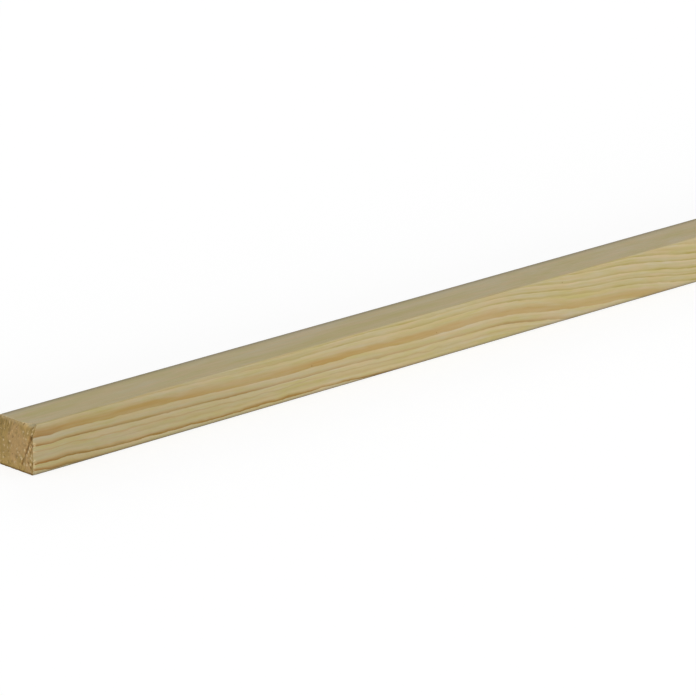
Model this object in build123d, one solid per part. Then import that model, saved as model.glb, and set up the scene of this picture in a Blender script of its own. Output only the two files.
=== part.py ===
# Square planed batten: one straight length of solid softwood, the same on all four long faces.
# It is cross-cut square at both ends, and the planer has eased its four long arrises.
#
# Frame: X runs along the grain, Z is up. The batten lies on one long face, and the origin is
# the middle of that face. Sizes are in millimetres.
import os

from build123d import *

# Width and height of the planed section, from face to opposite face
section_side = 27.0
# Length as it is sold, from one cross-cut end to the other
stock_length = 2400.0
# Round left by the planer head along each of the four long arrises
arris_radius = 1.0


def planed_section():
    """The section as the planer leaves it: a square with eased corners, standing on its lower side."""
    near_end_plane = Plane.YZ.offset(-stock_length / 2)
    with BuildSketch(near_end_plane) as section:
        with Locations((0, section_side / 2)):
            RectangleRounded(section_side, section_side, arris_radius)
    return section.sketch


def batten():
    """The section carried straight along the grain. Both saw cuts are square and keep their sharp edges."""
    stick = extrude(planed_section(), amount=stock_length)
    stick.label = "batten"
    return stick


os.makedirs("parts", exist_ok=True)
export_step(batten(), "parts/batten.step")
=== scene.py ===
# Square planed batten of pale pine, lying on a white floor in soft studio light.
import math

import bpy
import numpy as np
from mathutils import Matrix, Vector


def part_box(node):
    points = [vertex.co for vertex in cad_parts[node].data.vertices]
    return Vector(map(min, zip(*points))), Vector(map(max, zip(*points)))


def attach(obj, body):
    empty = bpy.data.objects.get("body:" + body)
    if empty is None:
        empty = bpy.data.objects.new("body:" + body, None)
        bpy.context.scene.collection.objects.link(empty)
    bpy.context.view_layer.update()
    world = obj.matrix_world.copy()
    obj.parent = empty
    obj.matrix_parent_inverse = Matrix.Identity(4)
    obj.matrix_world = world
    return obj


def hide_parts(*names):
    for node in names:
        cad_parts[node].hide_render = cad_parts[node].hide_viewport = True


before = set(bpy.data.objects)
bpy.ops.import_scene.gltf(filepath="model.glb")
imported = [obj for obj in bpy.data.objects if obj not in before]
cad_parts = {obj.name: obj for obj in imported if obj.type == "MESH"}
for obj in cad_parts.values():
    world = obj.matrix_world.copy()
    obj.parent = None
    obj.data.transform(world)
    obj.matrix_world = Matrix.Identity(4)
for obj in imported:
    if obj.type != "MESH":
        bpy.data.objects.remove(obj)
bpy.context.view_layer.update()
lowCorner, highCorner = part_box("batten")
stockLength = highCorner[0] - lowCorner[0]  # metres, like every length below
sectionSide = highCorner[2] - lowCorner[2]
mm = 0.001
print("frame loaded: batten", round(stockLength, 3), "m long,", round(sectionSide / mm, 1), "mm square")


# Camera
cameraSetup = {
    "lens": 277.0,  # mm, a long lens: the long edges hardly draw together
    "sensorWidth": 36.0,  # mm
    "bearing": 46.39,  # degrees between the line of sight and the batten, seen from above
    "downTilt": 17.54,  # degrees
    "roll": 0.05,  # degrees
    "cornerAway": 2.7263,  # from the lens to the near bottom corner, along the line of sight
    "cornerLeft": 0.1601,  # from the line of sight to that corner
    "cornerBelow": 0.0653,
    "seesTo": 200.0,  # past the far corners of the floor
}


def studioCamera(setup):
    # The camera is put where the near bottom corner falls on its place in the picture:
    # corner - away * forward + left * right + below * up
    bearing, tilt, roll = (math.radians(setup[key]) for key in ("bearing", "downTilt", "roll"))
    level = Vector((math.cos(bearing), math.sin(bearing), 0))
    across = Vector((math.sin(bearing), -math.cos(bearing), 0))
    forward = level * math.cos(tilt) - Vector((0, 0, math.sin(tilt)))
    upright = level * math.sin(tilt) + Vector((0, 0, math.cos(tilt)))
    right = across * math.cos(roll) + upright * math.sin(roll)
    up = upright * math.cos(roll) - across * math.sin(roll)
    place = Vector(lowCorner) - setup["cornerAway"] * forward
    place += setup["cornerLeft"] * right + setup["cornerBelow"] * up

    lens = bpy.data.cameras.new("studioCamera")
    lens.lens = setup["lens"]
    lens.sensor_width = setup["sensorWidth"]
    lens.clip_end = setup["seesTo"]
    camera = bpy.data.objects.new("studioCamera", lens)
    turned = Matrix((right, up, -forward)).transposed().to_4x4()
    camera.matrix_world = Matrix.Translation(place) @ turned
    bpy.context.collection.objects.link(camera)
    bpy.context.scene.camera = camera


studioCamera(cameraSetup)
print("camera placed")


# Node trees
def fillCurve(mapping, points):
    # The curve runs straight from each point to the next
    curve = mapping.curves[0]
    while len(curve.points) < len(points):
        curve.points.new(1.0, 1.0)
    for point, place in zip(curve.points, points):
        point.location = place
        point.handle_type = "VECTOR"
    mapping.update()


class Wire:
    # One output in a node tree. Sums on it add Math nodes, and node() adds any other kind of node
    def __init__(self, tree, socket=None):
        self.tree = tree
        self.socket = socket

    def node(self, kind, settings=None, inputs=None, output=0):
        # One new node: first its settings, then for each socket a link to a wire or a plain value
        made = self.tree.nodes.new("ShaderNode" + kind)
        for name, value in (settings or {}).items():
            if name == "points":
                fillCurve(made.mapping, value)
            else:
                setattr(made, name, value)
        for name, value in (inputs or {}).items():
            if isinstance(value, Wire):
                self.tree.links.new(value.socket, made.inputs[name])
            else:
                made.inputs[name].default_value = value
        return Wire(self.tree, made.outputs[output] if made.outputs else None)

    def maths(self, operation, first, second=0.0):
        # The operation's result on two numbers, wires or one of each
        return self.node("Math", {"operation": operation}, {0: first, 1: second})

    def __add__(self, other):
        return self.maths("ADD", self, other)

    def __radd__(self, other):
        return self.maths("ADD", other, self)

    def __sub__(self, other):
        return self.maths("SUBTRACT", self, other)

    def __rsub__(self, other):
        return self.maths("SUBTRACT", other, self)

    def __mul__(self, other):
        return self.maths("MULTIPLY", self, other)

    def __rmul__(self, other):
        return self.maths("MULTIPLY", other, self)

    def __truediv__(self, other):
        return self.maths("DIVIDE", self, other)

    def __pow__(self, other):
        return self.maths("POWER", self, other)

    def highest(self, other):
        # The greater of this and the other
        return self.maths("MAXIMUM", self, other)

    def away(self):
        # The distance from 0, whichever side of it
        return self.maths("ABSOLUTE", self)

    def rise(self, start, end):
        # 0 below start, 1 above end and a smooth step between them
        return self.node("MapRange", {"interpolation_type": "SMOOTHSTEP"},
                         {"Value": self, "From Min": start, "From Max": end})

    def lookUp(self, values):
        # The list's value at this wire's place in it, counted from 0, by a curve that runs straight
        # from each value to the next
        last, most = len(values) - 1, max(values)
        points = [(i / last, value / most) for i, value in enumerate(values)]
        return self.node("FloatCurve", {"points": points}, {"Value": self / last}) * most

    def blend(self, first, second):
        # The first colour where this wire is 0 and the second where it is 1
        return self.node("Mix", {"data_type": "RGBA"}, {0: self, 6: first, 7: second}, 2)

    def scaled(self, factor):
        # This colour or place, times one number
        return self.node("VectorMath", {"operation": "SCALE"}, {0: self, "Scale": factor})

    def noise(self, size, detail=2.0):
        # Noise from 0 to 1 on this wire's place, with lumps of the given size along each axis
        place = self.node("VectorMath", {"operation": "MULTIPLY"},
                          {0: self, 1: [1 / length for length in size]})
        return self.node("TexNoise", {"noise_dimensions": "3D"},
                         {"Vector": place, "Scale": 1.0, "Detail": detail, "Roughness": 0.5})

    def patches(self, size, start, end, detail=2.0):
        # That noise made 0 up to start and 1 from end on
        return self.noise(size, detail).rise(start, end)

    def axis(self, letter):
        # One coordinate of this place
        return self.node("SeparateXYZ", None, {0: self}, letter)

    def distance(self, point):
        # From this place to the point
        return self.node("VectorMath", {"operation": "DISTANCE"}, {0: self, 1: point}, "Value")

    def tone(self, name):
        # The number of that name that the mesh has at each of its points
        return self.node("Attribute", {"attribute_name": name}, output="Fac")

    def fibrePlace(self):
        # The mesh's points followed back along their fibres to the near end
        return self.node("Attribute", {"attribute_name": "fibrePlace"}, output="Vector")


def newMaterial(name):
    # A material with no nodes yet, and a wire to add them with
    material = bpy.data.materials.new(name)
    material.use_nodes = True
    material.node_tree.nodes.clear()
    return material, Wire(material.node_tree)


# Studio
studioSetup = {
    "paper": 1.0,  # the white that the camera sees all round
    "skyLevel": 0.50,  # light from all round, as a share of full light
    "keyOnFaces": (0.36, 0.74, 0.09),  # what the key lamp adds on the near end, front and top
    "keySoftness": 24.0,  # degrees that the lamp spans, seen from the batten
    "fillOnFaces": (0.22, 0.24, 0.05),  # what the other lamp adds on the far end, back and top
    "fillSoftness": 40.0,
    "floorColour": 0.4,  # for the light that it throws back up
    "shadowDepth": 0.32,  # how much of the light on the floor shows in the picture
    "floorReach": 120.0,
    "floorGap": 0.02 * mm,  # keeps the floor off the batten's own lower face
}


def softSun(name, towards, softness):
    # A sun of strength pi times the length of a vector that points at it, so that what it adds on a
    # face is the part of the vector along that face's normal
    lamp = bpy.data.lights.new(name, "SUN")
    lamp.energy = math.pi * towards.length
    lamp.angle = math.radians(softness)
    sun = bpy.data.objects.new(name, lamp)
    sun.rotation_mode = "QUATERNION"
    sun.rotation_quaternion = towards.to_track_quat("Z", "Y")
    bpy.context.collection.objects.link(sun)


def seenDirectly(wire):
    # 1 for what the camera sees itself, in a gloss or through glass, and 0 for the light that falls
    camera, gloss, glass = (wire.node("LightPath", output=name)
                            for name in ("Is Camera Ray", "Is Glossy Ray", "Is Transmission Ray"))
    return camera.highest(gloss).highest(glass)


def studioSky(setup):
    # Even light from all round: skyLevel on the batten, paper white where it is seen
    world = bpy.data.worlds.new("studioSky")
    bpy.context.scene.world = world
    world.use_nodes = True
    world.node_tree.nodes.clear()
    wire = Wire(world.node_tree)
    seen = seenDirectly(wire)
    level = setup["skyLevel"] + (setup["paper"] - setup["skyLevel"]) * seen
    light = wire.node("Background", None, {"Color": (1, 1, 1, 1), "Strength": level})
    wire.node("OutputWorld", None, {"Surface": light})


def whiteFloor(setup):
    # A flat sheet. What the camera sees is a glow and a share of the light that falls on it, which
    # come to paper white together, and to less where the batten takes some of that light away
    reach = setup["floorReach"]
    corners = [(x, y, lowCorner[2] - setup["floorGap"])
               for x, y in ((-reach, -reach), (reach, -reach), (reach, reach), (-reach, reach))]
    mesh = bpy.data.meshes.new("whiteFloor")
    mesh.from_pydata(corners, [], [(0, 1, 2, 3)])
    floor = bpy.data.objects.new("whiteFloor", mesh)
    bpy.context.collection.objects.link(floor)

    onFloor = setup["skyLevel"] + setup["keyOnFaces"][2] + setup["fillOnFaces"][2]
    lit = setup["shadowDepth"]
    own = setup["paper"] - lit * onFloor
    material, wire = newMaterial("floorPaper")
    thrown = wire.node("BsdfDiffuse", None, {"Color": (*[setup["floorColour"]] * 3, 1)})
    shadowed = wire.node("BsdfDiffuse", None, {"Color": (lit, lit, lit, 1)})
    glow = wire.node("Emission", None, {"Color": (1, 1, 1, 1), "Strength": own})
    shown = wire.node("AddShader", None, {0: shadowed, 1: glow})
    mixed = wire.node("MixShader", None, {0: seenDirectly(wire), 1: thrown, 2: shown})
    wire.node("OutputMaterial", None, {"Surface": mixed})
    mesh.materials.append(material)


studioSky(studioSetup)
whiteFloor(studioSetup)
nearEnd, front, top = studioSetup["keyOnFaces"]
softSun("keyLamp", Vector((-nearEnd, -front, top)), studioSetup["keySoftness"])
farEnd, back, top = studioSetup["fillOnFaces"]
softSun("fillLamp", Vector((farEnd, back, top)), studioSetup["fillSoftness"])
print("studio lit")


# Growth of the wood
growthSetup = {
    "pithAway": 140.0,  # mm from the middle of the front face to the pith, up and behind it
    "ringLean": 24.0,  # degrees that the rings lean from upright, seen on the near end
    "outerEdge": -3.2,  # mm inward from the near bottom corner to the first ring's bark side
    "ringWidths": [2.0, 1.8, 1.95, 4.2, 1.75, 2.65, 1.05, 1.1, 1.2, 0.85],  # mm, from the bark inward
    "furtherWidths": (0.9, 1.6),  # mm, for the rings inside those
    "allRings": 42,
    "seed": 11,
    # mm along from the near end, mm that the lines have come down the front by there
    "drop": [(0, -0.5), (5, -0.25), (12, 0.35), (18, 0.15), (24, 0), (30, -0.05), (38, 0.25),
             (46, 0.5), (54, 0.7), (68, 0.9), (101, 1.9), (135, 3.3), (169, 4.6), (236, 5.2),
             (270, 6.3), (304, 6.3), (337, 6.7), (351, 8.0), (364, 9.8), (378, 11.7), (391, 13.7),
             (405, 14.9), (416, 15.9), (428, 16.4), (439, 17.4), (452, 19.1), (466, 21.3),
             (479, 23.6), (560, 29), (700, 27), (900, 19), (1150, 12), (1400, 9), (1700, 13),
             (2000, 19), (2200, 16), (2400, 12)],
    # mm that the lines nearest the bark drop further, and then the lowest of them
    "lowDrop": [(0, 0.6), (5, 0.5), (12, 0.2), (18, 0), (24, -0.2), (30, 0.6), (38, 0.7), (68, 1.4),
                (101, 0.8), (135, 0.1), (169, -1.2), (202, -1.4), (236, -0.5), (270, 0), (2400, 0)],
    "lowDropFrom": (8.9, 2.8),  # mm inward: none of that further drop, all of it
    "lastDrop": [(0, -1.9), (4, -1.4), (8, -0.9), (15, -0.1), (22, 0.25), (35, 0.2), (60, 0),
                 (2400, 0)],
    "lastDropFrom": (2.5, 1.5),
}


def throughPoints(places, points):
    # A cubic between each two points, whose slope at a point is taken from its two neighbours
    across, heights = np.array(points, float).T
    slopes = np.gradient(heights, across)
    before = np.clip(np.searchsorted(across, places) - 1, 0, len(across) - 2)
    width = across[before + 1] - across[before]
    part = (places - across[before]) / width
    return (heights[before] * (1 + 2 * part) * (1 - part) ** 2
            + slopes[before] * width * part * (1 - part) ** 2
            + heights[before + 1] * part ** 2 * (3 - 2 * part)
            + slopes[before + 1] * width * part ** 2 * (part - 1))


def ringEdges(setup):
    # The bark side of each ring, in mm inward: a running sum of the widths
    draw = np.random.default_rng(setup["seed"])
    missing = setup["allRings"] - len(setup["ringWidths"])
    widths = [*setup["ringWidths"], *draw.uniform(*setup["furtherWidths"], missing)]
    return setup["outerEdge"] + np.concatenate([[0.0], np.cumsum(widths)])


def growth(x, y, z, setup):
    # Follows each point's fibre back to the near end, by adding the drop of the grain to its height.
    # Returns its place there and how far inside the near bottom corner's ring it lies, in mm: the
    # corner's distance from the pith less its own
    alongGrain = np.clip((x - lowCorner[0]) / mm, 0, None)
    lean = math.radians(setup["ringLean"])
    pithY = lowCorner[1] / mm + setup["pithAway"] * math.cos(lean)
    pithZ = sectionSide / mm / 2 + setup["pithAway"] * math.sin(lean)
    cornerFromPith = math.hypot(pithY - lowCorner[1] / mm, pithZ)

    def inward(height):
        return cornerFromPith - np.hypot(pithY - y / mm, pithZ - height)

    height = z / mm + throughPoints(alongGrain, setup["drop"])
    for further in ("lowDrop", "lastDrop"):
        none, full = setup[further + "From"]
        share = np.clip((none - inward(height)) / (none - full), 0, 1)
        height = height + share * throughPoints(alongGrain, setup[further])
    return np.stack([x, y, height * mm], -1), inward(height)


def countRings(inward, setup):
    # Rings from the bark side, counted evenly across each ring's own width
    edges = ringEdges(setup)
    return np.interp(inward, edges, np.arange(len(edges)))


# Batten shape
battenShape = {
    "arrisRound": 1.0 * mm,
    "flatCells": 60,  # across the flat of each long face
    "arcCells": 4,  # from a flat to the middle of an arris
    "halfRows": 158,  # from an end to the middle of the length
    "endRow": 0.12 * mm,  # length of the row next to an end
    "rowGrowth": 1.35,  # how much longer each next row is, until they are all alike
    "rowMost": 9.0 * mm,
    "springSink": 0.03 * mm,  # spring wood sinks this far under the summer wood
    "springSlopes": (0.3, 0.03),  # share of a ring in which it sinks, and in which it comes back up
    "faceWander": 0.05 * mm,  # how far the planed faces stray from flat
    "wanderLength": 0.11,
    "arrisWear": 0.12 * mm,
    "wearLength": 18 * mm,
    "rimWear": 0.22 * mm,  # fibres broken out along the edges of the sawn ends
    "rimReach": 0.9 * mm,
    "rimLength": 4 * mm,
    "rimTufts": 160,  # round the section
    "endReach": 6.0 * mm,  # how far in the rows shift where an end's rim is broken
    "tornFibres": 0.30 * mm,  # depth of the small pits in the sawn ends
    "pitSize": (0.8 * mm, 1.0 * mm),
    "pitPatch": 5 * mm,  # size of the places with more of them
    "pitsElsewhere": 0.4,  # share of their depth outside those places
    "sawPitch": 1.9 * mm,
    "sawSlant": 0.25,
    "sawDepth": 0.015 * mm,
    "sharpFrom": 50.0,  # degrees
    "seed": 5,
}

# The near end, where the saw pulled a line of fibres out and broke the upper front corner. Places
# on the end are mm in from the front face and mm up
nearEndDamage = {
    "tornLine": [(1.7, 21.2), (2.5, 19.4), (3.5, 15.9), (4.6, 13.4), (6.5, 10.6), (7.2, 9.1),
                 (9.0, 5.4), (10.4, 3.4), (11.6, 1.0)],
    "tornWidth": 0.6,  # mm
    "tornDepth": 0.45 * mm,
    "ragged": (1.1, 1.5),  # mm across and up, of the stretches where it gapes or closes
    "gape": (3.0, 0.6),  # that noise times the first number, less the second, is how far it gapes
    "bends": (2.0, 2.2),  # mm across and up, of its bends
    "bendReach": 1.6,  # mm from one side to the other
    "nick": (2.6, 19.4),  # the deepest place of the tear
    "nickSize": (1.05, 1.5),  # mm, half its width and half its height
    "nickDepth": 1.3 * mm,
    # Hollows where single fibres are gone: the place, half the width, half the height
    "hollows": [(1.2, 15.9, 0.8, 1.0), (2.7, 12.1, 0.7, 0.8), (4.4, 5.9, 0.8, 0.8),
                (1.3, 6.1, 0.9, 0.8), (2.6, 3.7, 0.8, 0.8), (1.6, 13.7, 0.5, 1.2)],
    "hollowDepth": 0.5 * mm,
    "scoop": (3.2, 27.2, 3.1, 2.4),  # rubbed out of the upper edge beside the corner
    "scoopDepth": 1.8 * mm,
    "chipDepth": 2.1 * mm,  # at the corner itself
    "chipAcross": 3.4,  # mm in from the front face that the chip goes
    "paler": 0.6,  # how dark the tear and the hollows are, where the nick is 1
    "deepest": 4 * mm,  # further along than this there is no mark of the near end
    # Pale tufts that stand beside the tear and elsewhere
    "tufts": [(2.8, 14.3, 0.7, 1.0), (4.0, 12.2, 0.7, 1.1), (2.1, 9.1, 0.9, 0.8),
              (2.5, 5.6, 0.8, 0.9), (5.3, 4.6, 0.8, 0.8), (5.0, 9.9, 0.6, 1.0),
              (9.5, 7.4, 1.1, 1.3), (7.4, 4.6, 0.6, 1.2), (6.9, 12.3, 0.6, 0.9),
              (12.1, 9.9, 0.7, 0.6), (12.9, 11.6, 0.6, 0.6), (10.6, 8.8, 0.6, 0.7),
              (7.5, 22.0, 1.0, 0.8), (4.3, 22.0, 0.6, 0.5), (5.6, 18.4, 0.7, 0.8),
              (23.4, 14.0, 0.8, 0.8), (18.3, 14.5, 0.8, 0.8), (22.8, 11.1, 0.5, 0.9),
              (20.2, 10.6, 0.5, 0.9), (23.9, 4.4, 0.7, 0.7), (14.8, 4.0, 0.6, 0.8),
              (18.2, 24.7, 0.5, 1.2), (22.7, 26.0, 0.6, 0.9), (1.5, 22.0, 0.5, 1.0),
              (1.2, 10.7, 0.7, 1.0), (1.1, 8.2, 0.6, 0.9)],
    # Where the end is a little darker
    "smudges": [(24.8, 24.6, 1.7, 2.6), (21.2, 25.0, 1.5, 1.8), (16.7, 25.0, 0.6, 1.3),
                (14.0, 25.5, 0.9, 0.8), (24.5, 19.4, 1.0, 1.1), (25.6, 16.6, 1.3, 1.5),
                (18.8, 20.6, 1.0, 1.1), (23.5, 15.3, 0.8, 0.6), (13.7, 20.0, 0.6, 0.6),
                (16.2, 17.7, 0.9, 0.8), (18.7, 13.4, 1.4, 0.7), (6.9, 15.2, 0.7, 0.7),
                (6.5, 10.8, 1.1, 0.9), (19.6, 2.5, 0.7, 1.2), (16.4, 4.1, 0.6, 0.9),
                (11.3, 4.8, 0.7, 0.6), (3.7, 21.0, 0.7, 0.8), (13.2, 7.6, 1.3, 1.0),
                (2.4, 24.0, 2.2, 2.2)],
    "seed": 45,
}


def lumps(u, v, rows, columns, seed):
    # Heights drawn at the crossings of a lattice, blended smoothly between the four nearest. It
    # repeats after the given number of rows and columns
    lattice = np.random.default_rng(seed).random((rows, columns))
    i, j = np.floor(u).astype(int), np.floor(v).astype(int)
    a, b = u - i, v - j
    a, b = a * a * (3 - 2 * a), b * b * (3 - 2 * b)

    def at(di, dj):
        return lattice[(i + di) % rows, (j + dj) % columns]

    return (at(0, 0) * (1 - a) + at(1, 0) * a) * (1 - b) + (at(0, 1) * (1 - a) + at(1, 1) * a) * b


def sideSteps(shape):
    # One side of the section, from the middle of one arris to the middle of the next: half an arc,
    # the flat and half an arc. Returns each point's place along the side, its distance from the
    # middle of the section, the angle of its normal and its place along the outline
    half, radius = sectionSide / 2, shape["arrisRound"]
    turn = np.linspace(0, math.pi / 4, shape["arcCells"] + 1)
    flat = np.linspace(-1, 1, shape["flatCells"] + 1) * (half - radius)
    angle = np.concatenate([turn[:-1] - math.pi / 4, 0 * flat, turn[1:]])
    middle = np.concatenate([0 * turn[:-1] - (half - radius), flat, 0 * turn[1:] + half - radius])
    along = middle + radius * np.sin(angle)
    out = half - radius + radius * np.cos(angle)
    outline = middle + radius * angle
    return along, out, angle, outline - outline[0]


def sectionOutline(shape):
    # The four sides in turn, each a quarter turn on from the last: under, back, top and front
    along, out, angle, _ = (step[:-1] for step in sideSteps(shape))
    quarter = np.arange(4)[:, None] * math.pi / 2
    y = along * np.cos(quarter) + out * np.sin(quarter)
    z = along * np.sin(quarter) - out * np.cos(quarter) + sectionSide / 2
    normalY, normalZ = np.sin(angle + quarter), -np.cos(angle + quarter)
    onArris = 1 - np.cos(2 * angle) + 0 * quarter
    return [part.ravel() for part in (y, z, normalY, normalZ, onArris)]


def rowPlaces(shape):
    # Rows that start short at each end and grow by a steady ratio up to the longest row
    steps = shape["endRow"] * shape["rowGrowth"] ** np.arange(shape["halfRows"], dtype=float)
    short = steps < shape["rowMost"]
    steps[~short] = (stockLength / 2 - steps[short].sum()) / (~short).sum()
    places = np.concatenate([[0.0], np.cumsum(steps)])
    return np.concatenate([places, stockLength - places[-2::-1]]) + lowCorner[0]


def fromEnds(x):
    # The distance to the nearer end of the batten
    return np.minimum(x - lowCorner[0], highCorner[0] - x)


def longRelief(x, around, onArris, rings, shape):
    # How far each point of the long faces lies under the true face: spring wood sinks between the
    # lines, the planed face wanders, the arrises are rubbed and the rim has lost fibres
    part = rings - np.floor(rings)
    sinking, rising = shape["springSlopes"]
    spring = np.clip(part / sinking, 0, 1) * np.clip((1 - part) / rising, 0, 1)
    wander = lumps(x / shape["wanderLength"], around * 4, 64, 4, shape["seed"])
    rubbed = lumps(x / shape["wearLength"], around * 4 + 0.5, 256, 4, shape["seed"] + 1) ** 4
    tufts, fromEnd = shape["rimTufts"], fromEnds(x) / shape["rimLength"]
    frayed = lumps(fromEnd + (x > 0) * 9, around * tufts, 64, tufts, shape["seed"] + 2) ** 2
    atRim = np.exp(-fromEnds(x) / shape["rimReach"])
    return (shape["springSink"] * spring * (1 - onArris) + shape["faceWander"] * wander
            + shape["arrisWear"] * rubbed * onArris + shape["rimWear"] * frayed * atRim)


def endRelief(y, z, shape, seed):
    # How far each point of a sawn end lies behind the cut: small pits where fibres tore, and the
    # ripple of the saw
    pitWide, pitHigh = shape["pitSize"]
    patch, least = shape["pitPatch"], shape["pitsElsewhere"]
    pits = lumps(y / pitWide, z / pitHigh, 64, 64, seed) ** 2
    pits = pits * (least + (1 - least) * lumps(y / patch, z / patch, 16, 16, seed + 1))
    ripple = 0.5 + 0.5 * np.sin((z + shape["sawSlant"] * y) * 2 * math.pi / shape["sawPitch"])
    return shape["tornFibres"] * pits + shape["sawDepth"] * ripple


def tearAway(across, up, line):
    # Distance to a line through the given points: the least of the distances to its segments
    away = np.full(across.shape, np.inf)
    for (startAcross, startUp), (endAcross, endUp) in zip(line[:-1], line[1:]):
        stepAcross, stepUp = endAcross - startAcross, endUp - startUp
        along = (across - startAcross) * stepAcross + (up - startUp) * stepUp
        share = np.clip(along / (stepAcross ** 2 + stepUp ** 2), 0, 1)
        away = np.minimum(away, np.hypot(across - startAcross - share * stepAcross,
                                         up - startUp - share * stepUp))
    return away


def ovals(across, up, marks):
    # The highest of the bells at the given places, each with its own half width and half height
    most = 0 * across
    for markAcross, markUp, wide, high in marks:
        away = np.hypot((across - markAcross) / wide, (up - markUp) / high)
        most = np.maximum(most, np.exp(-away ** 2))
    return most


def tornMarks(y, z, damage):
    # Numbers from 0 to 1 for each point of the near end: a bell across the torn line, ragged along
    # it, and oval bells for the nick, the hollows, the scoop, the tufts and the smudges
    across, up, seed = (y - lowCorner[1]) / mm, z / mm, damage["seed"]
    (raggedAcross, raggedUp), (bendAcross, bendUp) = damage["ragged"], damage["bends"]
    ragged = lumps(across / raggedAcross, up / raggedUp, 32, 32, seed)
    bent = (lumps(across / bendAcross + 7, up / bendUp, 32, 32, seed + 1) - 0.5) * damage["bendReach"]
    torn = np.exp(-(tearAway(across + bent, up, damage["tornLine"]) / damage["tornWidth"]) ** 2)
    gape, less = damage["gape"]
    torn = torn * np.clip(gape * ragged - less, 0, 1)
    kinds = ([(*damage["nick"], *damage["nickSize"])], damage["hollows"], [damage["scoop"]],
             damage["tufts"], damage["smudges"])
    return [torn, *(ovals(across, up, marks) for marks in kinds)]


def tornRelief(y, z, damage):
    # How much deeper the near end lies: along the tear, at the nick, in the hollows and the scoop,
    # and in a chip that deepens evenly from the nick up to the corner and fades in from the front face
    torn, nick, hollows, scoop, _, _ = tornMarks(y, z, damage)
    across, nickUp = (y - lowCorner[1]) / mm, damage["nick"][1] * mm
    above = np.clip((z - nickUp) / (highCorner[2] - nickUp), 0, 1)
    chip = damage["chipDepth"] * above * np.exp(-(across / damage["chipAcross"]) ** 2)
    deepest = np.maximum(torn * damage["tornDepth"], nick * damage["nickDepth"])
    return np.maximum(deepest, hollows * damage["hollowDepth"]) + chip + scoop * damage["scoopDepth"]


def battenSurface(shape):
    # The long faces are the section's outline carried from row to row. Each end is a grid that meets
    # the outline: its point (i, j) lies at (along[i] * out[j], along[j] * out[i]) / out[0]
    y, z, normalY, normalZ, onArris = sectionOutline(shape)
    x = rowPlaces(shape)
    ring = len(y)
    gridX, gridY, gridZ = np.broadcast_arrays(x[:, None], y, z)
    _, inward = growth(gridX, gridY, gridZ, growthSetup)
    around = np.arange(ring) / ring
    sunk = longRelief(gridX, around, onArris, countRings(inward, growthSetup), shape)
    body = np.stack([gridX, gridY - sunk * normalY, gridZ - sunk * normalZ], -1)

    along, out, _, _ = sideSteps(shape)
    cells = len(along) - 1
    steps = np.arange(cells)
    capY = along[:, None] * out / out[0]
    capZ = along * out[:, None] / out[0] + sectionSide / 2
    caps, capIndex = [], []
    for end, (row, into) in enumerate(((0, 1), (len(x) - 1, -1))):
        index = np.zeros(capY.shape, int)
        index[steps, 0] = row * ring + steps
        index[cells, steps] = row * ring + cells + steps
        index[cells - steps, cells] = row * ring + 2 * cells + steps
        index[0, cells - steps] = row * ring + 3 * cells + steps
        inside = len(x) * ring + end * (cells - 1) ** 2 + np.arange((cells - 1) ** 2)
        index[1:-1, 1:-1] = inside.reshape(cells - 1, cells - 1)
        pits = endRelief(capY, capZ, shape, shape["seed"] + 10 * (end + 1))
        if end == 0:
            pits = pits + tornRelief(capY, capZ, nearEndDamage)
        cap = np.stack([x[row] + into * pits, capY, capZ], -1)
        rim = index < len(x) * ring
        atRim = np.zeros(ring)
        atRim[index[rim] - row * ring] = pits[rim]
        fade = np.clip(1 - np.abs(x - x[row]) / shape["endReach"], 0, 1) ** 2
        body[..., 0] += into * fade[:, None] * atRim
        caps.append(cap[1:-1, 1:-1].reshape(-1, 3))
        capIndex.append(index)

    across, beside = np.arange(ring), (np.arange(ring) + 1) % ring
    first = np.arange(len(x) - 1)[:, None] * ring
    sides = np.stack([first + across, first + beside, first + ring + beside, first + ring + across], -1)
    ends = [np.stack([index[:-1, :-1], index[1:, :-1], index[1:, 1:], index[:-1, 1:]], -1)
            for index in capIndex]
    ends[0] = ends[0][..., ::-1]
    quads = [faces.reshape(-1, 4) for faces in (sides, *ends)]
    return np.concatenate([body.reshape(-1, 3), *caps]), quads


bakeLayout = {
    "strip": 0.18,  # height of each long face's strip, which is as wide as the map
    "margin": 0.005,
    "endWidth": 0.48,  # each end's own place above the strips
}


def bakeMap(points, quads, shape, layout):
    # The four long faces are strips one above the other, drawn out to the width of the map, and the
    # two ends stand side by side above them. Returns two numbers for each corner of each face
    margin, strip = layout["margin"], layout["strip"]
    outline = sideSteps(shape)[3]
    x = rowPlaces(shape)
    across = np.tile(np.stack([outline[:-1], outline[1:], outline[1:], outline[:-1]], -1), (4, 1))
    across = across / outline[-1] * (strip - 2 * margin) + margin
    across = across + np.repeat(np.arange(4), len(outline) - 1)[:, None] * strip
    length = (x - x[0]) / stockLength * (1 - 2 * margin) + margin
    length = np.stack([length[:-1], length[:-1], length[1:], length[1:]], -1)
    sides = np.stack(np.broadcast_arrays(length[:, None], across[None]), -1).reshape(-1, 2)
    found = [sides]
    low = 4 * strip + margin
    for end, faces in enumerate(quads[1:]):
        corners = points[faces.ravel()]
        u = (corners[:, 1] - lowCorner[1]) / sectionSide * layout["endWidth"]
        v = (corners[:, 2] - lowCorner[2]) / sectionSide * (1 - margin - low)
        found.append(np.stack([u + margin + end * (layout["endWidth"] + 2 * margin), v + low], -1))
    return np.concatenate(found)


# The two long arrises with painted shade: the upper back one, which turns away from the lamps, and
# the lower front one, where it meets the floor. At the back, 1, or the front, -1, at the top, 1, or
# the bottom, 0, how dark, and how far that reaches across and up or down
shadedArrises = {
    "upperBack": (1, 1, 0.66, 3.2 * mm, 0.9 * mm),
    "lowerFront": (-1, 0, 0.70, 1.2 * mm, 1.2 * mm),
}


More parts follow.
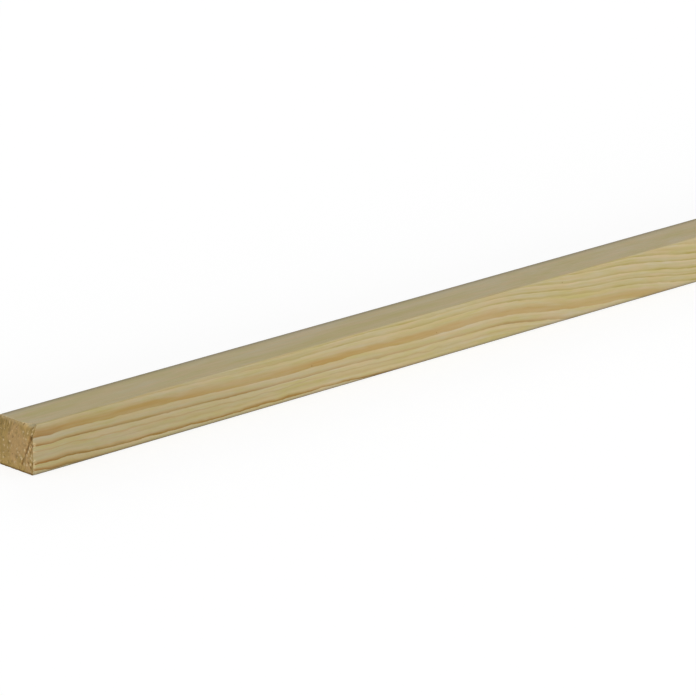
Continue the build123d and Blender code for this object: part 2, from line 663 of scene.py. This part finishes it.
def arrisShadeTone(y, z, edges):
    # 0 elsewhere, and at each edge a bell of painted shade: dark * exp(-(across / reach) ** 2 - (up /
    # reach) ** 2)
    tone = 0 * y
    for side, level, dark, reachIn, reachUp in edges.values():
        away = np.hypot((y - side * sectionSide / 2) / reachIn, (z - level * sectionSide) / reachUp)
        tone = tone + dark * np.exp(-away ** 2)
    return tone


def planedBatten(shape, layout, finishes):
    # The surface made a mesh, with the numbers that the finishes read at each point
    points, quads = battenSurface(shape)
    mesh = bpy.data.meshes.new("planedBatten")
    mesh.from_pydata(points, [], np.concatenate(quads))
    sawn = np.repeat([0, 1, 1], [len(faces) for faces in quads])
    mesh.polygons.foreach_set("material_index", sawn)
    mesh.polygons.foreach_set("use_smooth", np.ones(len(sawn), bool))
    mesh.set_sharp_from_angle(angle=math.radians(shape["sharpFrom"]))
    places = bakeMap(points, quads, shape, layout)
    mesh.uv_layers.new(name="OFBake").uv.foreach_set("vector", places.astype(np.float32).ravel())

    fibre, inward = growth(*points.T, growthSetup)
    mesh.attributes.new("fibrePlace", "FLOAT_VECTOR", "POINT").data.foreach_set("vector", fibre.ravel())
    torn, nick, hollows, scoop, tufts, smudges = tornMarks(points[:, 1], points[:, 2], nearEndDamage)
    torn = np.maximum(nearEndDamage["paler"] * np.maximum(torn, hollows), nick)
    onNearEnd = points[:, 0] < lowCorner[0] + nearEndDamage["deepest"]
    tones = {"ringCount": countRings(inward, growthSetup),
             # painted shade along the upper back and lower front arrises
             "handled": arrisShadeTone(points[:, 1], points[:, 2], shadedArrises),
             "torn": torn * onNearEnd,
             "scoop": scoop * onNearEnd,
             "tufts": tufts * onNearEnd,
             "smudges": smudges * onNearEnd}
    for name, values in tones.items():
        mesh.attributes.new(name, "FLOAT", "POINT").data.foreach_set("value", values)
    for finish in finishes:
        mesh.materials.append(finish)
    batten = bpy.data.objects.new("planedBatten", mesh)
    bpy.context.collection.objects.link(batten)
    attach(batten, "root")
    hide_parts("batten")
    print("batten made:", len(points), "points and", 2 * len(sawn), "triangles")


# Summer wood, the dark lines of the rings
summerSetup = {
    "bandRing": 5,  # the ring of the one wide band, counted from the bark
    # For each ring from the bark inward: how strong its summer wood is, and how wide it is in mm
    "ringStrength": [0.9, 0.9, 1.0, 1.2, 1.25, 0.9, 0.9, 0.9, 0.9, 0.85, 0.8],
    "summerWidth": [0.9, 0.9, 1.6, 1.3, 0.95, 2.3, 0.6, 0.6, 0.6, 0.5, 0.5],
    "innerStrength": (0.3, 0.6),  # least and most, for the rings inside those
    "innerWidth": (0.4, 0.6),
    "steadyPart": [0, 0, 0, 0, 0, 0.35, 0, 0],  # share of that width before it starts to fade
    "fadePower": 1.25,
    "sharpEdge": 0.035,  # share of a ring in which its summer wood starts
    "groupTurn": 0.1,  # share of a ring in which one group of rings turns to the next
    # How the lines waver: the size of a wave along, across and up, and its height in rings
    "waver": [((0.045, 0.004, 0.004), 0.16), ((0.010, 0.003, 0.003), 0.22)],
    # Strength of the lines at each step from the near end, then the last one on to the far end:
    # those nearest the bark, the last before the wide band, the band itself and those inside it
    "alongStep": 0.05,
    "barkAlong": [0.93, 0.82, 1.06, 0.95, 0.94, 1.0, 0.66, 0.6, 0.6, 0.6, 0.8],
    "outerAlong": [0.98, 0.58, 0.46, 0.62, 0.51, 0.34, 0.34, 0.56, 0.34, 0.6, 0.8],
    "bandAlong": [1.0, 0.74, 0.72, 0.58, 0.78, 0.6, 0.74, 0.74, 0.54, 0.6, 0.8],
    "innerAlong": [0.5, 0.5, 0.4, 0.35, 0.55, 0.6, 0.62, 0.75, 0.75, 0.9, 0.9],
    # Patches of stronger line: their size, and the noise at which they start and are full
    "patches": ((0.035, 0.0025, 0.0025), 0.3, 0.7),
    "patchStrength": (0.73, 0.45),  # outside them, and how much more inside
    "innerPatches": ((0.020, 0.0019, 0.0019), 0.32, 0.68),
    "innerPatchDepth": 0.9,
    "falseRings": [(3.73, 0.06, 0.28), (3.48, 0.09, 0.16)],  # ring count, reach and strength of each
    # The faint line half way through each inner ring: its place, core and reach as shares of the
    # ring, its strength and the patches where it shows
    "halfLine": (0.55, 0.02, 0.14, 0.25),
    "halfPatches": ((0.14, 0.004, 0.004), 0.42, 0.62),
}


def ringLists(setup):
    # The strength of each ring's summer wood, and its width divided by the ring's own
    draw = np.random.default_rng(growthSetup["seed"] + 1)
    missing = growthSetup["allRings"] - len(setup["ringStrength"])
    strength = [*setup["ringStrength"], *draw.uniform(*setup["innerStrength"], missing)]
    width = [*setup["summerWidth"], *draw.uniform(*setup["innerWidth"], missing)]
    return strength, np.array(width) / np.diff(ringEdges(growthSetup))


def summerWood(wire, place, setup):
    # 0 in spring wood and 1 in the darkest summer wood. With part running from 0 at a ring's bark
    # side to 1 at its pith side: (1 - part / width) to the fadePower, times the ring's strength, the
    # strength along the batten and the patches. A false ring or a half line shows where it is stronger
    # than that. Returns it with the ring count, the part, and what is 1 from the wide band inward and 1
    # inside it
    strength, share = ringLists(setup)
    slow, quick = ((place.noise(size) - 0.5) * height for size, height in setup["waver"])
    count = wire.tone("ringCount") + (slow + quick)
    ring = wire.maths("FLOOR", count)
    part = count - ring
    width = ring.lookUp(share)
    fade = (1 - part.rise(width * ring.lookUp(setup["steadyPart"]), width)) ** setup["fadePower"]
    edge = part.rise(0.0, setup["sharpEdge"])
    steps = (place.axis("X") - lowCorner[0]) / setup["alongStep"]
    bark, outer, band, inner = (steps.lookUp(setup[key])
                                for key in ("barkAlong", "outerAlong", "bandAlong", "innerAlong"))
    bandRing = setup["bandRing"]
    fromOuter, fromBand, pastBand = (count.rise(start - setup["groupTurn"], start)
                                     for start in (bandRing - 1, bandRing, bandRing + 1))
    strengthAlong = (bark + (outer - bark) * fromOuter + (band - outer) * fromBand
                     + (inner - band) * pastBand)
    least, more = setup["patchStrength"]
    patchy = place.patches(*setup["innerPatches"]) - 0.5
    uneven = place.patches(*setup["patches"]) * more + least
    uneven = uneven * strengthAlong * (1 + patchy * pastBand * setup["innerPatchDepth"])
    summer = fade * edge * ring.lookUp(strength) * uneven
    for middle, reach, amount in setup["falseRings"]:
        line = 1 - (count - middle).away().rise(0.0, reach)
        summer = summer.highest(line * uneven * amount)
    middle, core, reach, amount = setup["halfLine"]
    half = (1 - (part - middle).away().rise(core, reach)) * ring.rise(bandRing, bandRing + 1)
    summer = summer.highest(half * place.patches(*setup["halfPatches"]) * amount)
    return summer, count, part, fromBand, pastBand


def woodSurface(wire, colour, rough, setup, height):
    # The last nodes of both finishes: a bump of the given height, the wood's shader and the output
    bump = wire.node("Bump", None, {"Strength": setup["bumpStrength"], "Distance": setup["bumpDepth"],
                                    "Height": height}, "Normal")
    wood = wire.node("BsdfPrincipled", None, {"Base Color": colour, "Roughness": rough,
                                              "Specular IOR Level": setup["specular"], "Normal": bump})
    wire.node("OutputMaterial", None, {"Surface": wood})


# Planed faces. Lengths in tuples of three are along, across and up
freshFibre = (0.710, 0.550, 0.300, 1)  # broken ends of fibres, paler than the wood round them
faceSetup = {
    "springCream": (0.518, 0.442, 0.286, 1),  # the pale wood of each ring, in streaks of three tints
    "springGold": (0.506, 0.427, 0.177, 1),
    "springRose": (0.572, 0.424, 0.240, 1),
    "rosePatches": ((0.022, 0.0022, 0.0022), 0.40, 0.66, 3),
    "roseShare": 0.5,
    "roseEdge": (0.580, 0.370, 0.150, 1),  # where the pale wood starts to turn
    "roseEdgeSpan": ((0.10, 0.30), (0.30, 0.60)),  # share of the summer wood where it starts, and ends
    "roseEdgeInner": 0.5,  # how much of that inside the wide band, where the band itself has none
    "roseEdgeShare": (0.45, 0.12),  # how much of that at the near end, and further along
    "roseEdgeTurn": (0.03, 0.15),  # metres along, from the one to the other
    "amber": (0.330, 0.200, 0.056, 1),  # the summer wood of the rings nearest the bark
    "honey": (0.445, 0.272, 0.077, 1),  # of the one wide band
    "olive": (0.400, 0.322, 0.098, 1),  # and of the rings inside it
    "russet": (0.400, 0.195, 0.058, 1),  # that those outside it turn to at the near end
    "russetShare": 0.5,
    "nearEndTint": (0.010, 0.024),  # metres along over which the near end's own tints fade
    "bandEdge": (0.12, 0.40),  # share of the band that is amber there, and where it is honey
    "paleEdge": 0.06,  # how much paler the first wood of each year is
    "paleEdgeStarts": (0.7, 0.97),  # share of the ring, from its bark side, where it starts and is full
    "frontOnly": (0.2 * mm, 1.2 * mm),  # metres behind the front face over which its own shades fade
    # Streaks along the grain, from wide to hair-fine and then flecks: the size and the noise's detail
    "streaks": [((0.07, 0.012, 0.006), 3), ((0.07, 0.0011, 0.0011), 3), ((0.030, 0.00045, 0.00045), 3),
                ((0.016, 0.0002, 0.0002), 2), ((0.012, 0.0017, 0.0017), 2)],
    # How much each of them darkens. The wide one does so twice as much off the front
    "streakShade": (0.08, 0.10, 0.06, 0.09, 0.06),
    "streakTint": (2.0, 0.9, 0.8, 1.3),  # how much the wide, middle and fine ones and flecks tint
    "tintOffFront": 0.4,  # share of all but the wide one's tint that the other faces get
    # Dark pin marks on the front: metres along, metres up with the drop of the grain added, radius
    "pins": [(0.3853, 0.0357, 0.0005), (0.1945, 0.0211, 0.0006), (0.2876, 0.0211, 0.0005)],
    "pinBrown": (0.245, 0.125, 0.035, 1),
    "pinShare": 0.55,
    "dullNearEnd": 0.115,  # how much darker the front is at the near end
    "dullReach": 0.30,
    "dullOuter": 0.07,  # how much darker the rings near the bark are
    "dullRings": (4, 9),  # ring count up to which that holds in full, and where it ends
    "dullEases": (0.10, 0.25, 0.7),  # metres along where it starts and stops easing, and the share lost
    "paleOuter": 0.05,  # how much paler the three outermost rings are past the near end
    "paleRings": (3.2, 3.6),
    "paleStarts": (0.04, 0.09),
    "arrisShadeColour": (0.100, 0.096, 0.070, 1),  # painted shade on the two darkened arrises
    # Pale splinters at the near end: their size, the groups that they stand in, how far they reach
    "splinters": ((0.0020, 0.0009, 0.0009), 0.45, 0.60, 1),
    "splinterGroups": ((0.0080, 0.0035, 0.0035), 0.40, 0.58, 1),
    "splinterReach": (0.0004, 0.0030),
    "splinterShare": 0.7,
    "roughness": 0.70,
    "summerSheen": 0.10,  # how much smoother the summer wood is
    "fineRough": 0.1,
    "specular": 0.1,
    "bumpShares": (0.3, 0.3, 0.6, 0.4),  # of the summer wood and the middle, fine and hair streaks
    "bumpStrength": 0.5,
    "bumpDepth": 0.03 * mm,
}


def planedFace(setup):
    # Spring wood in three tints, blended to its ring's summer colour, then shaded: a sum of the
    # streaks, times the dulling near the end and the bark. The painted shade on two arrises, the pins
    # and the splinters go on last
    material, wire = newMaterial("planedFace")
    place = wire.fibrePlace()
    along = place.axis("X") - lowCorner[0]
    onFront = 1 - (place.axis("Y") - lowCorner[1]).rise(*setup["frontOnly"])
    atNearEnd = 1 - along.rise(*setup["nearEndTint"])
    summer, count, part, fromBand, pastBand = summerWood(wire, place, summerSetup)
    wide, middle, fine, hair, fleck = (place.noise(size, detail) - 0.5
                                       for size, detail in setup["streaks"])

    tintWide, tintMiddle, tintFine, tintFleck = setup["streakTint"]
    offFront = setup["tintOffFront"]
    tint = middle * tintMiddle + fine * tintFine + fleck * tintFleck
    tint = 0.5 + wide * tintWide + tint * (offFront + (1 - offFront) * onFront)
    rosy = place.patches(*setup["rosePatches"]) * setup["roseShare"]
    spring = rosy.blend(tint.blend(setup["springGold"], setup["springCream"]), setup["springRose"])
    spring = spring.scaled(1 + setup["paleEdge"] * part.rise(*setup["paleEdgeStarts"]))

    amberEdge = (1 - part.rise(*setup["bandEdge"])) * atNearEnd
    bandColour = amberEdge.blend(setup["honey"], setup["amber"])
    outerColour = (atNearEnd * setup["russetShare"]).blend(fromBand.blend(setup["amber"], bandColour),
                                                           setup["russet"])
    colour = summer.blend(spring, pastBand.blend(outerColour, setup["olive"]))
    starts, ends = setup["roseEdgeSpan"]
    turning = summer.rise(*starts) * (1 - summer.rise(*ends))
    turning = turning * (1 - fromBand + pastBand * setup["roseEdgeInner"])
    near, far = setup["roseEdgeShare"]
    turning = turning * (near + (far - near) * along.rise(*setup["roseEdgeTurn"]))
    colour = turning.blend(colour, setup["roseEdge"])

    byWide, byMiddle, byFine, byHair, byFleck = setup["streakShade"]
    shade = (1 + wide * byWide * (2 - onFront) + middle * byMiddle + fine * byFine + hair * byHair
             + fleck * byFleck)
    easeStart, easeEnd, eased = setup["dullEases"]
    outer = (1 - count.rise(*setup["dullRings"])) * (1 - along.rise(easeStart, easeEnd) * eased)
    outermost = (1 - count.rise(*setup["paleRings"])) * along.rise(*setup["paleStarts"])
    dull = 1 - setup["dullNearEnd"] * (1 - along.rise(0.0, setup["dullReach"])) * onFront
    dull = dull * (1 - setup["dullOuter"] * outer) * (1 + setup["paleOuter"] * outermost)
    # The two arrises get their painted shade: a dark grey blended in
    colour = wire.tone("handled").blend(colour.scaled(shade * dull), setup["arrisShadeColour"])
    for pinAlong, pinUp, pinSize in setup["pins"]:
        away = place.distance((lowCorner[0] + pinAlong, lowCorner[1], pinUp))
        pin = (1 - away.rise(pinSize / 2, pinSize)) * setup["pinShare"]
        colour = pin.blend(colour, setup["pinBrown"])
    splinter = place.patches(*setup["splinters"]) * place.patches(*setup["splinterGroups"])
    splinter = splinter * (1 - along.rise(*setup["splinterReach"])) * setup["splinterShare"]
    colour = splinter.blend(colour, freshFibre)

    rough = setup["roughness"] - summer * setup["summerSheen"] + fine * setup["fineRough"]
    summerBump, middleBump, fineBump, hairBump = setup["bumpShares"]
    height = summer * summerBump + middle * middleBump + fine * fineBump + hair * hairBump
    woodSurface(wire, colour, rough, setup, height)
    return material


# Sawn ends
endSetup = {
    "olive": (0.450, 0.307, 0.106, 1),  # the wood, in patches of two tints
    "rose": (0.545, 0.358, 0.152, 1),
    "roseSize": (0.010, 0.007, 0.009),
    "roseMiddle": (-0.003, 0.014),  # where the rosy patch of the near end lies, across and up
    "roseLevel": 0.28,  # what it has there more than the noise, and how much of that each metre loses
    "roseLoss": 30,
    "roseTurns": (0.36, 0.64),  # the level at which the rosy tint starts, and is full
    "summer": (0.300, 0.180, 0.065, 1),
    "summerShare": 0.35,
    "strokeSize": (0.0100, 0.0009, 0.0070),  # strokes that lean with the rings
    "strokeShare": (0.25, 1.1),  # how much they darken, and how much more in the upper back corner
    "strokeCorner": ((0.010, 0.022), (-0.004, 0.008)),  # where that corner starts: up, then across
    "grainSize": (0.0010, 0.0006, 0.0009),
    "grainShare": 0.28,
    "mottleSize": (0.0030, 0.0016, 0.0024),
    "mottleShare": 0.7,
    "mottleSide": (-0.008, 0.006),  # across, where it fades towards the back
    "paleLow": ((0.0040, 0.0080), (-0.0095, -0.0060)),  # painted light near the floor, away from the front: up, then across
    "paleLowShare": 0.14,
    "smudgeShare": 0.27,
    "scoopWood": (0.385, 0.325, 0.190, 1),  # in the scoop beside the corner
    "scoopEdge": (0.2, 0.8),
    "paleRim": (2.4 * mm, 0.8 * mm),  # below the upper edge, where it starts and is full
    "paleRimShare": 0.3,
    # Pale tufts and dark pits of painted shade all over: their size, and the noise at which they start
    # and are full
    "tuftSize": (0.0030, 0.0013, 0.0018),
    "tuftEdge": (0.64, 0.70),
    "tuftRim": 0.08,  # what the noise gains along the upper and front edges
    "tuftRimTop": (1.6 * mm, 0.4 * mm),  # below the upper edge, where that starts and is full
    "tuftRimFront": (1.7 * mm, 0.3 * mm),  # and behind the front edge
    "tuftShare": 0.6,
    "placedTuftEdge": (0.3, 0.75),  # for those of the near end's own list
    "placedTuftShare": 0.85,
    "pits": ((0.0032, 0.0011, 0.0034), 0.27, 0.34, 1),
    "pitShare": 0.5,
    "hollow": (0.120, 0.062, 0.014, 1),  # painted shade: between torn fibres over their real relief, in the pits and along the lower edge
    "hollowEdge": (0.6, 1.0),  # how torn the wood is where that starts and is full
    "tear": (0.245, 0.125, 0.032, 1),  # the sides of the tear: the wood darkened with painted shade over its real relief
    "tearEdge": (0.05, 0.7),
    "tearShare": 0.85,
    "contactShade": (0.0003, 0.0016),  # painted contact shade along the lower edge: metres up over which it fades
    "contactShadeShare": 0.75,
    "roughness": 0.85,
    "specular": 0.2,
    "bumpStrength": 0.7,
    "bumpDepth": 0.15 * mm,
}


def sawnEnd(setup):
    # Fibres seen end on. The wood's two tints and its summer lines are shaded by a sum of strokes,
    # grain and mottle, with painted light near the floor. Over that go smudges, the scoop, pale tufts
    # and rim, then dark pits, the tear and the lower edge, all darkened with painted shade
    material, wire = newMaterial("sawnEnd")
    flat = wire.node("TexCoord", output="Object")
    leaning = wire.node("VectorRotate", {"rotation_type": "X_AXIS"},
                        {"Vector": flat, "Angle": -math.radians(growthSetup["ringLean"])})
    y, z = flat.axis("Y"), flat.axis("Z")

    def nearTop(span):
        # 0 at the first distance below the upper edge, and 1 from the second one up
        return z.rise(*(sectionSide - below for below in span))

    summer = summerWood(wire, wire.fibrePlace(), summerSetup)[0]
    loss = flat.distance((lowCorner[0], *setup["roseMiddle"])) * setup["roseLoss"]
    rosy = (flat.noise(setup["roseSize"]) - loss + setup["roseLevel"]).rise(*setup["roseTurns"])
    colour = (summer * setup["summerShare"]).blend(rosy.blend(setup["olive"], setup["rose"]),
                                                   setup["summer"])
    stroke = leaning.noise(setup["strokeSize"]) - 0.5
    grain = flat.noise(setup["grainSize"], 3) - 0.5
    mottle = (flat.noise(setup["mottleSize"]) - 0.5) * (1 - y.rise(*setup["mottleSide"]))
    cornerUp, cornerAcross = setup["strokeCorner"]
    plain, more = setup["strokeShare"]
    stroke = stroke * (plain + z.rise(*cornerUp) * y.rise(*cornerAcross) * more)
    # Painted light near the floor, away from the front
    lowUp, lowAcross = setup["paleLow"]
    low = (1 - z.rise(*lowUp)) * y.rise(*lowAcross)
    colour = colour.scaled(1 + stroke + grain * setup["grainShare"] + mottle * setup["mottleShare"]
                           + low * setup["paleLowShare"])

    scoop = wire.tone("scoop").rise(*setup["scoopEdge"])
    colour = colour.scaled(1 - wire.tone("smudges") * setup["smudgeShare"])
    colour = scoop.blend(colour, setup["scoopWood"])
    nearFront = (-1 * y).rise(*(sectionSide / 2 - behind for behind in setup["tuftRimFront"]))
    rim = nearTop(setup["tuftRimTop"]).highest(nearFront)
    tuft = (leaning.noise(setup["tuftSize"], 1) + rim * setup["tuftRim"]).rise(*setup["tuftEdge"])
    placed = wire.tone("tufts").rise(*setup["placedTuftEdge"]) * setup["placedTuftShare"]
    paleRim = nearTop(setup["paleRim"]) * (1 - scoop) * setup["paleRimShare"]
    colour = (tuft * setup["tuftShare"]).highest(placed).highest(paleRim).blend(colour, freshFibre)
    # The pits, the tear and its hollows are darkened with painted shade
    pit = 1 - leaning.patches(*setup["pits"])
    colour = (pit * setup["pitShare"]).blend(colour, setup["hollow"])
    torn = wire.tone("torn")
    colour = (torn.rise(*setup["tearEdge"]) * setup["tearShare"]).blend(colour, setup["tear"])
    colour = torn.rise(*setup["hollowEdge"]).blend(colour, setup["hollow"])
    # Painted contact shade along the lower edge, where the end meets the floor
    contactShade = (1 - z.rise(*setup["contactShade"])) * setup["contactShadeShare"]
    colour = contactShade.blend(colour, setup["hollow"])
    woodSurface(wire, colour, setup["roughness"], setup, grain + tuft - pit)
    return material


finishes = [planedFace(faceSetup), sawnEnd(endSetup)]
print("wood finishes made")
planedBatten(battenShape, bakeLayout, finishes)

bpy.context.scene.view_settings.view_transform = "Standard"
